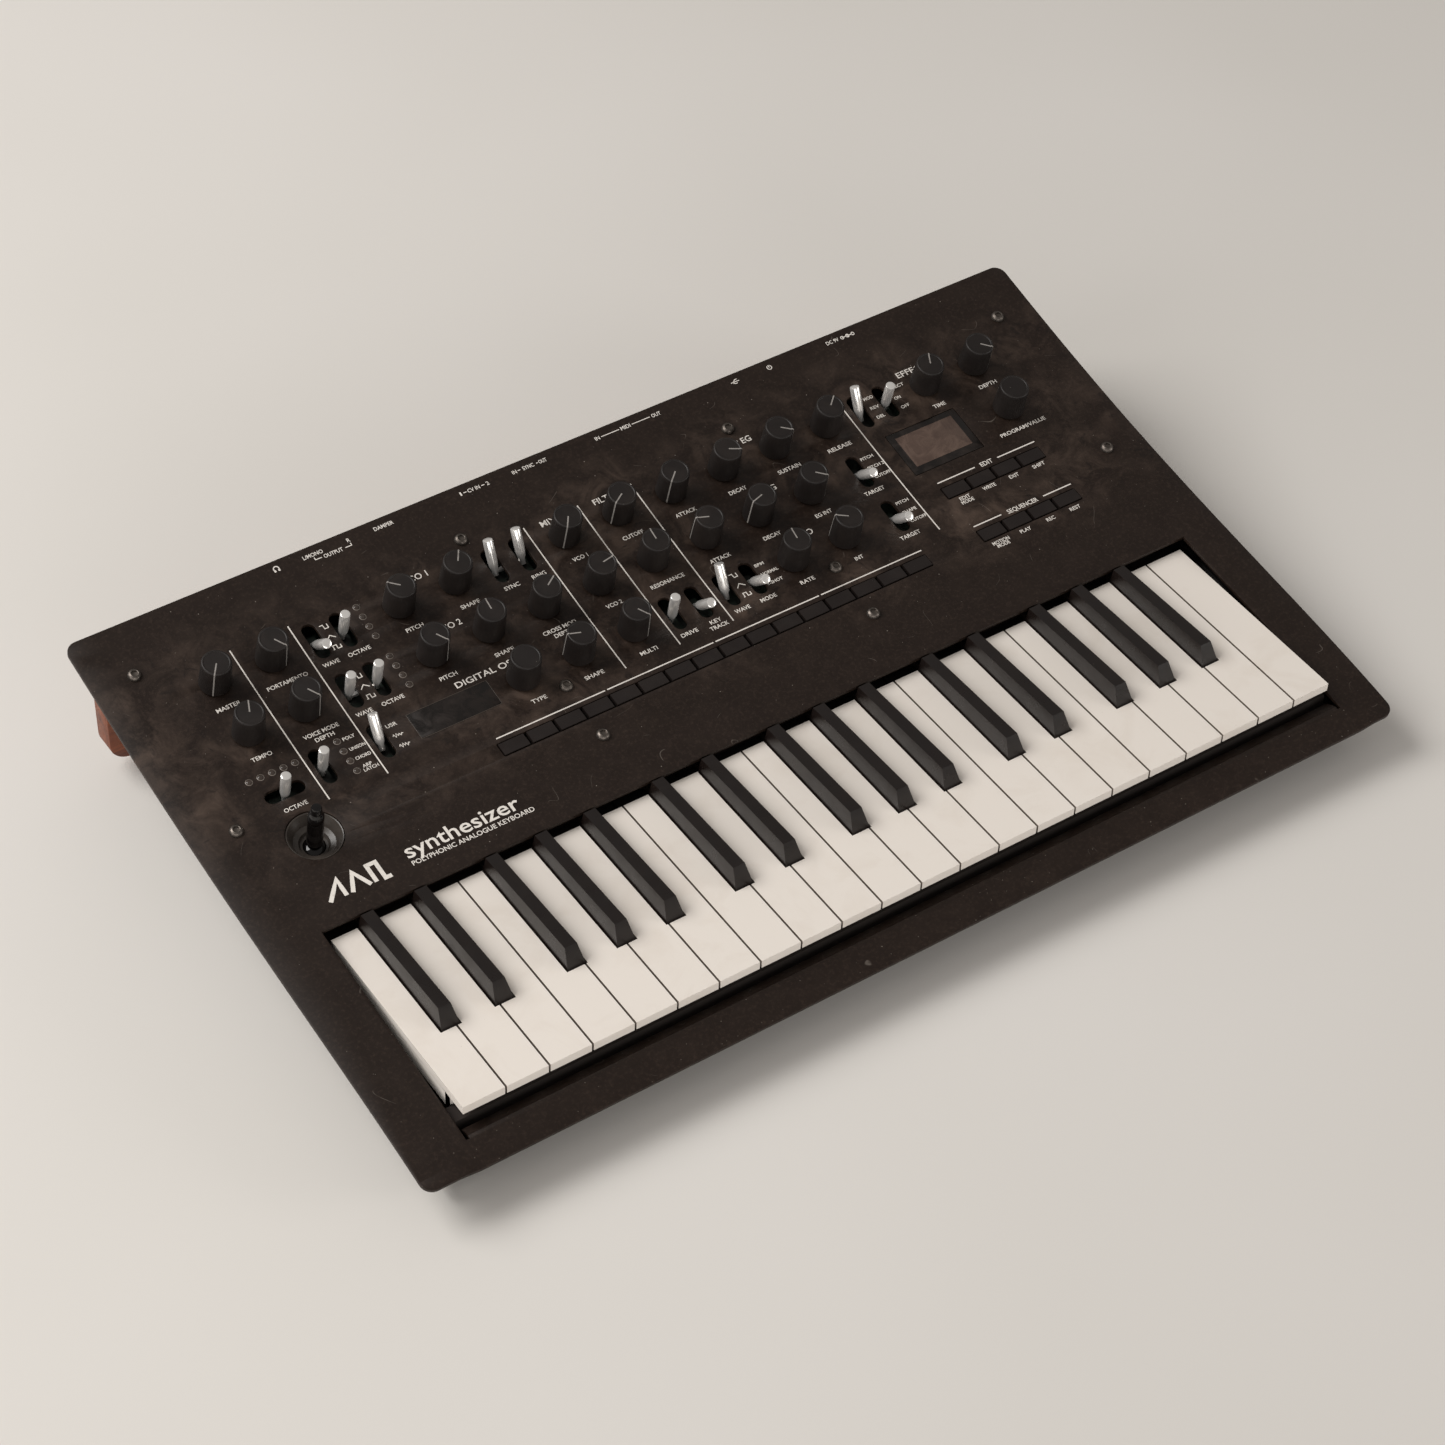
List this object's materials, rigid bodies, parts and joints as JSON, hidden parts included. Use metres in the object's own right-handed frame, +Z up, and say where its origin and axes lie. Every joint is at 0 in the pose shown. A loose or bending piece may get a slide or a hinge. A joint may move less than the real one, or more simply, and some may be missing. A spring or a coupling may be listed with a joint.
{
  "type": "synthesizer",
  "caption": "Compact analogue synthesizer with slim keys, a bent metal control panel of knobs, toggle switches and step buttons, a joystick, and sockets in a wooden back.",
  "frame": {"origin": "on the surface it stands on, under the centre of the top panel", "axes": "+X to the treble end of the keyboard, +Y to the back, +Z up"},
  "size_m": [0.5, 0.3, 0.0804],
  "materials": {
    "painted_sheet": "warm near-black powder coat, slightly textured",
    "case_plastic": "fine matt moulding",
    "wood": "reddish brown, oiled",
    "white_key": "ivory white, satin gloss",
    "black_key": "satin black",
    "knob_plastic": "soft-touch charcoal",
    "chrome": "polished",
    "button_plastic": "flat dark caps",
    "board": "green circuit board with its modules",
    "grey_plastic": "plain moulding",
    "gloss_plastic": "gloss black"
  },
  "bodies": {
    "case": {"top_panel": "painted_sheet", "bottom_shell": "case_plastic", "rear_panel": "wood", "keybed_frame": "grey_plastic", "control_board": "board", "jack_board": "board"},
    "vco1_pitch_knob": {"vco1_pitch_knob": "knob_plastic"},
    "vco1_shape_knob": {"vco1_shape_knob": "knob_plastic"},
    "mix_vco1_knob": {"mix_vco1_knob": "knob_plastic"},
    "filter_cutoff_knob": {"filter_cutoff_knob": "knob_plastic"},
    "amp_attack_knob": {"amp_attack_knob": "knob_plastic"},
    "amp_decay_knob": {"amp_decay_knob": "knob_plastic"},
    "amp_sustain_knob": {"amp_sustain_knob": "knob_plastic"},
    "amp_release_knob": {"amp_release_knob": "knob_plastic"},
    "fx_time_knob": {"fx_time_knob": "knob_plastic"},
    "fx_depth_knob": {"fx_depth_knob": "knob_plastic"},
    "vco2_pitch_knob": {"vco2_pitch_knob": "knob_plastic"},
    "vco2_shape_knob": {"vco2_shape_knob": "knob_plastic"},
    "cross_mod_knob": {"cross_mod_knob": "knob_plastic"},
    "mix_vco2_knob": {"mix_vco2_knob": "knob_plastic"},
    "filter_resonance_knob": {"filter_resonance_knob": "knob_plastic"},
    "eg_attack_knob": {"eg_attack_knob": "knob_plastic"},
    "eg_decay_knob": {"eg_decay_knob": "knob_plastic"},
    "eg_intensity_knob": {"eg_intensity_knob": "knob_plastic"},
    "value_encoder": {"value_encoder": "knob_plastic"},
    "multi_type_encoder": {"multi_type_encoder": "knob_plastic"},
    "multi_shape_knob": {"multi_shape_knob": "knob_plastic"},
    "mix_multi_knob": {"mix_multi_knob": "knob_plastic"},
    "lfo_rate_knob": {"lfo_rate_knob": "knob_plastic"},
    "lfo_intensity_knob": {"lfo_intensity_knob": "knob_plastic"},
    "master_knob": {"master_knob": "knob_plastic"},
    "portamento_knob": {"portamento_knob": "knob_plastic"},
    "tempo_knob": {"tempo_knob": "knob_plastic"},
    "voice_depth_knob": {"voice_depth_knob": "knob_plastic"},
    "vco1_wave_toggle": {"vco1_wave_toggle": "chrome"},
    "vco1_octave_toggle": {"vco1_octave_toggle": "chrome"},
    "sync_ring_toggles": {"sync_ring_toggles": "chrome"},
    "fx_type_toggle": {"fx_type_toggle": "chrome"},
    "fx_on_toggle": {"fx_on_toggle": "chrome"},
    "vco2_toggles": {"vco2_toggles": "chrome"},
    "eg_target_toggle": {"eg_target_toggle": "chrome"},
    "multi_engine_toggle": {"multi_engine_toggle": "chrome"},
    "voice_mode_toggle": {"voice_mode_toggle": "chrome"},
    "filter_drive_toggle": {"filter_drive_toggle": "chrome"},
    "filter_keytrack_toggle": {"filter_keytrack_toggle": "chrome"},
    "lfo_wave_toggle": {"lfo_wave_toggle": "chrome"},
    "lfo_mode_toggle": {"lfo_mode_toggle": "chrome"},
    "lfo_target_toggle": {"lfo_target_toggle": "chrome"},
    "octave_toggle": {"octave_toggle": "chrome"},
    "step_buttons": {"step_buttons": "button_plastic"},
    "function_buttons": {"function_buttons": "button_plastic"},
    "power_button": {"power_button": "gloss_plastic"},
    "white_keys_low": {"white_keys_low": "white_key"},
    "white_keys_mid": {"white_keys_mid": "white_key"},
    "white_keys_high": {"white_keys_high": "white_key"},
    "black_keys_low": {"black_keys_low": "black_key"},
    "black_keys_mid": {"black_keys_mid": "black_key"},
    "black_keys_high": {"black_keys_high": "black_key"},
    "joystick_gimbal": {"joystick_gimbal": "grey_plastic"},
    "joystick_stick": {"joystick_stick": "gloss_plastic"}
  },
  "joints": [
    {"name": "vco1_pitch_knob_turn", "type": "hinge", "parent": "case", "child": "vco1_pitch_knob", "pos_m": [-0.11105, 0.1058, 0.06341], "axis": [0, -0.2258, 0.9742], "range_deg": [-199, 101]},
    {"name": "vco1_shape_knob_turn", "type": "hinge", "parent": "case", "child": "vco1_shape_knob", "pos_m": [-0.0826, 0.1058, 0.06341], "axis": [0, -0.2258, 0.9742], "range_deg": [-117, 183]},
    {"name": "mix_vco1_knob_turn", "type": "hinge", "parent": "case", "child": "mix_vco1_knob", "pos_m": [-0.0257, 0.1058, 0.06341], "axis": [0, -0.2258, 0.9742], "range_deg": [-295, 5]},
    {"name": "filter_cutoff_knob_turn", "type": "hinge", "parent": "case", "child": "filter_cutoff_knob", "pos_m": [0.00275, 0.1058, 0.06341], "axis": [0, -0.2258, 0.9742], "range_deg": [-272, 28]},
    {"name": "amp_attack_knob_turn", "type": "hinge", "parent": "case", "child": "amp_attack_knob", "pos_m": [0.0312, 0.1058, 0.06341], "axis": [0, -0.2258, 0.9742], "range_deg": [-282, 18]},
    {"name": "amp_decay_knob_turn", "type": "hinge", "parent": "case", "child": "amp_decay_knob", "pos_m": [0.05965, 0.1058, 0.06341], "axis": [0, -0.2258, 0.9742], "range_deg": [-34, 266]},
    {"name": "amp_sustain_knob_turn", "type": "hinge", "parent": "case", "child": "amp_sustain_knob", "pos_m": [0.0881, 0.1058, 0.06341], "axis": [0, -0.2258, 0.9742], "range_deg": [-22, 278]},
    {"name": "amp_release_knob_turn", "type": "hinge", "parent": "case", "child": "amp_release_knob", "pos_m": [0.11655, 0.1058, 0.06341], "axis": [0, -0.2258, 0.9742], "range_deg": [-103, 197]},
    {"name": "fx_time_knob_turn", "type": "hinge", "parent": "case", "child": "fx_time_knob", "pos_m": [0.17345, 0.1058, 0.06341], "axis": [0, -0.2258, 0.9742], "range_deg": [-124, 176]},
    {"name": "fx_depth_knob_turn", "type": "hinge", "parent": "case", "child": "fx_depth_knob", "pos_m": [0.2019, 0.1058, 0.06341], "axis": [0, -0.2258, 0.9742], "range_deg": [-17, 283]},
    {"name": "vco2_pitch_knob_turn", "type": "hinge", "parent": "case", "child": "vco2_pitch_knob", "pos_m": [-0.11105, 0.0773, 0.05711], "axis": [0, -0.2053, 0.9787], "range_deg": [-2, 298]},
    {"name": "vco2_shape_knob_turn", "type": "hinge", "parent": "case", "child": "vco2_shape_knob", "pos_m": [-0.0826, 0.0773, 0.05711], "axis": [0, -0.2053, 0.9787], "range_deg": [-146, 154]},
    {"name": "cross_mod_knob_turn", "type": "hinge", "parent": "case", "child": "cross_mod_knob", "pos_m": [-0.05415, 0.0773, 0.05711], "axis": [0, -0.2053, 0.9787], "range_deg": [-93, 207]},
    {"name": "mix_vco2_knob_turn", "type": "hinge", "parent": "case", "child": "mix_vco2_knob", "pos_m": [-0.0257, 0.0773, 0.05711], "axis": [0, -0.2053, 0.9787], "range_deg": [-69, 231]},
    {"name": "filter_resonance_knob_turn", "type": "hinge", "parent": "case", "child": "filter_resonance_knob", "pos_m": [0.00275, 0.0773, 0.05711], "axis": [0, -0.2053, 0.9787], "range_deg": [-146, 154]},
    {"name": "eg_attack_knob_turn", "type": "hinge", "parent": "case", "child": "eg_attack_knob", "pos_m": [0.0312, 0.0773, 0.05711], "axis": [0, -0.2053, 0.9787], "range_deg": [-220, 80]},
    {"name": "eg_decay_knob_turn", "type": "hinge", "parent": "case", "child": "eg_decay_knob", "pos_m": [0.05965, 0.0773, 0.05711], "axis": [0, -0.2053, 0.9787], "range_deg": [-256, 44]},
    {"name": "eg_intensity_knob_turn", "type": "hinge", "parent": "case", "child": "eg_intensity_knob", "pos_m": [0.0881, 0.0773, 0.05711], "axis": [0, -0.2053, 0.9787], "range_deg": [-18, 282]},
    {"name": "value_encoder_turn", "type": "hinge", "parent": "case", "child": "value_encoder", "pos_m": [0.2019, 0.0773, 0.05711], "axis": [0, -0.2053, 0.9787], "continuous": true},
    {"name": "multi_type_encoder_turn", "type": "hinge", "parent": "case", "child": "multi_type_encoder", "pos_m": [-0.0826, 0.0489, 0.0515], "axis": [0, -0.182, 0.9833], "continuous": true},
    {"name": "multi_shape_knob_turn", "type": "hinge", "parent": "case", "child": "multi_shape_knob", "pos_m": [-0.05415, 0.0489, 0.0515], "axis": [0, -0.182, 0.9833], "range_deg": [-221, 79]},
    {"name": "mix_multi_knob_turn", "type": "hinge", "parent": "case", "child": "mix_multi_knob", "pos_m": [-0.0257, 0.0489, 0.0515], "axis": [0, -0.182, 0.9833], "range_deg": [0, 300]},
    {"name": "lfo_rate_knob_turn", "type": "hinge", "parent": "case", "child": "lfo_rate_knob", "pos_m": [0.05965, 0.0489, 0.0515], "axis": [0, -0.182, 0.9833], "range_deg": [-143, 157]},
    {"name": "lfo_intensity_knob_turn", "type": "hinge", "parent": "case", "child": "lfo_intensity_knob", "pos_m": [0.0881, 0.0489, 0.0515], "axis": [0, -0.182, 0.9833], "range_deg": [-207, 93]},
    {"name": "master_knob_turn", "type": "hinge", "parent": "case", "child": "master_knob", "pos_m": [-0.2015, 0.1058, 0.06341], "axis": [0, -0.2258, 0.9742], "range_deg": [-294, 6]},
    {"name": "portamento_knob_turn", "type": "hinge", "parent": "case", "child": "portamento_knob", "pos_m": [-0.1742, 0.1058, 0.06341], "axis": [0, -0.2258, 0.9742], "range_deg": [-2, 298]},
    {"name": "tempo_knob_turn", "type": "hinge", "parent": "case", "child": "tempo_knob", "pos_m": [-0.2015, 0.0773, 0.05711], "axis": [0, -0.2053, 0.9787], "range_deg": [-127, 173]},
    {"name": "voice_depth_knob_turn", "type": "hinge", "parent": "case", "child": "voice_depth_knob", "pos_m": [-0.1742, 0.0773, 0.05711], "axis": [0, -0.2053, 0.9787], "range_deg": [-1, 299]},
    {"name": "vco1_wave_toggle_tilt", "type": "hinge", "parent": "case", "child": "vco1_wave_toggle", "pos_m": [-0.1523, 0.10648, 0.06048], "axis": [-1, 0, 0], "range_deg": [0, 70]},
    {"name": "vco1_octave_toggle_tilt", "type": "hinge", "parent": "case", "child": "vco1_octave_toggle", "pos_m": [-0.1387, 0.10648, 0.06048], "axis": [-1, 0, 0], "range_deg": [-35, 35]},
    {"name": "sync_ring_toggles_tilt", "type": "hinge", "parent": "case", "child": "sync_ring_toggles", "pos_m": [-0.0617, 0.10648, 0.06048], "axis": [-1, 0, 0], "range_deg": [-70, 0]},
    {"name": "fx_type_toggle_tilt", "type": "hinge", "parent": "case", "child": "fx_type_toggle", "pos_m": [0.1372, 0.10648, 0.06048], "axis": [-1, 0, 0], "range_deg": [-70, 0]},
    {"name": "fx_on_toggle_tilt", "type": "hinge", "parent": "case", "child": "fx_on_toggle", "pos_m": [0.1515, 0.10648, 0.06048], "axis": [-1, 0, 0], "range_deg": [-35, 35]},
    {"name": "vco2_toggles_tilt", "type": "hinge", "parent": "case", "child": "vco2_toggles", "pos_m": [-0.1523, 0.07792, 0.05417], "axis": [-1, 0, 0], "range_deg": [-35, 35]},
    {"name": "eg_target_toggle_tilt", "type": "hinge", "parent": "case", "child": "eg_target_toggle", "pos_m": [0.1167, 0.07792, 0.05417], "axis": [-1, 0, 0], "range_deg": [0, 70]},
    {"name": "multi_engine_toggle_tilt", "type": "hinge", "parent": "case", "child": "multi_engine_toggle", "pos_m": [-0.1534, 0.04945, 0.04855], "axis": [-1, 0, 0], "range_deg": [-70, 0]},
    {"name": "voice_mode_toggle_tilt", "type": "hinge", "parent": "case", "child": "voice_mode_toggle", "pos_m": [-0.1818, 0.04945, 0.04855], "axis": [-1, 0, 0], "range_deg": [-35, 35]},
    {"name": "filter_drive_toggle_tilt", "type": "hinge", "parent": "case", "child": "filter_drive_toggle", "pos_m": [-0.005, 0.04945, 0.04855], "axis": [-1, 0, 0], "range_deg": [-35, 35]},
    {"name": "filter_keytrack_toggle_tilt", "type": "hinge", "parent": "case", "child": "filter_keytrack_toggle", "pos_m": [0.0089, 0.04945, 0.04855], "axis": [-1, 0, 0], "range_deg": [0, 70]},
    {"name": "lfo_wave_toggle_tilt", "type": "hinge", "parent": "case", "child": "lfo_wave_toggle", "pos_m": [0.0238, 0.04945, 0.04855], "axis": [-1, 0, 0], "range_deg": [-70, 0]},
    {"name": "lfo_mode_toggle_tilt", "type": "hinge", "parent": "case", "child": "lfo_mode_toggle", "pos_m": [0.038, 0.04945, 0.04855], "axis": [-1, 0, 0], "range_deg": [0, 70]},
    {"name": "lfo_target_toggle_tilt", "type": "hinge", "parent": "case", "child": "lfo_target_toggle", "pos_m": [0.1167, 0.04945, 0.04855], "axis": [-1, 0, 0], "range_deg": [0, 70]},
    {"name": "octave_toggle_tilt", "type": "hinge", "parent": "case", "child": "octave_toggle", "pos_m": [-0.2023, 0.04534, 0.04779], "axis": [0, 0.9839, 0.1786], "range_deg": [-35, 35]},
    {"name": "step_buttons_press", "type": "slide", "parent": "case", "child": "step_buttons", "axis": [0, 0.1593, -0.9872], "range_m": [0, 0.0008], "stiffness_N_per_m": 800, "springref_m": -0.001},
    {"name": "function_buttons_press", "type": "slide", "parent": "case", "child": "function_buttons", "axis": [0, 0.182, -0.9833], "range_m": [0, 0.0008], "stiffness_N_per_m": 800, "springref_m": -0.001},
    {"name": "power_button_press", "type": "slide", "parent": "case", "child": "power_button", "axis": [0, -1, 0], "range_m": [0, 0.002], "stiffness_N_per_m": 600, "springref_m": -0.001},
    {"name": "white_keys_low_press", "type": "hinge", "parent": "case", "child": "white_keys_low", "pos_m": [0, -0.004, 0.0266], "axis": [1, 0, 0], "range_deg": [0, 2.6], "stiffness_Nm_per_rad": 1.2, "springref_deg": -8.59},
    {"name": "white_keys_mid_press", "type": "hinge", "parent": "case", "child": "white_keys_mid", "pos_m": [0, -0.004, 0.0266], "axis": [1, 0, 0], "range_deg": [0, 2.6], "stiffness_Nm_per_rad": 1.2, "springref_deg": -8.59},
    {"name": "white_keys_high_press", "type": "hinge", "parent": "case", "child": "white_keys_high", "pos_m": [0, -0.004, 0.0266], "axis": [1, 0, 0], "range_deg": [0, 2.6], "stiffness_Nm_per_rad": 1.2, "springref_deg": -8.59},
    {"name": "black_keys_low_press", "type": "hinge", "parent": "case", "child": "black_keys_low", "pos_m": [0, -0.004, 0.0335], "axis": [1, 0, 0], "range_deg": [0, 2.6], "stiffness_Nm_per_rad": 0.8, "springref_deg": -8.59},
    {"name": "black_keys_mid_press", "type": "hinge", "parent": "case", "child": "black_keys_mid", "pos_m": [0, -0.004, 0.0335], "axis": [1, 0, 0], "range_deg": [0, 2.6], "stiffness_Nm_per_rad": 0.8, "springref_deg": -8.59},
    {"name": "black_keys_high_press", "type": "hinge", "parent": "case", "child": "black_keys_high", "pos_m": [0, -0.004, 0.0335], "axis": [1, 0, 0], "range_deg": [0, 2.6], "stiffness_Nm_per_rad": 0.8, "springref_deg": -8.59},
    {"name": "joystick_gimbal_tilt", "type": "hinge", "parent": "case", "child": "joystick_gimbal", "pos_m": [-0.2022, 0.02222, 0.03268], "axis": [1, 0, 0], "range_deg": [-18, 18], "stiffness_Nm_per_rad": 0.02},
    {"name": "joystick_stick_tilt", "type": "hinge", "parent": "joystick_gimbal", "child": "joystick_stick", "pos_m": [-0.2022, 0.02222, 0.03268], "axis": [0, 0.9873, 0.1587], "range_deg": [-18, 18], "stiffness_Nm_per_rad": 0.02}
  ]
}
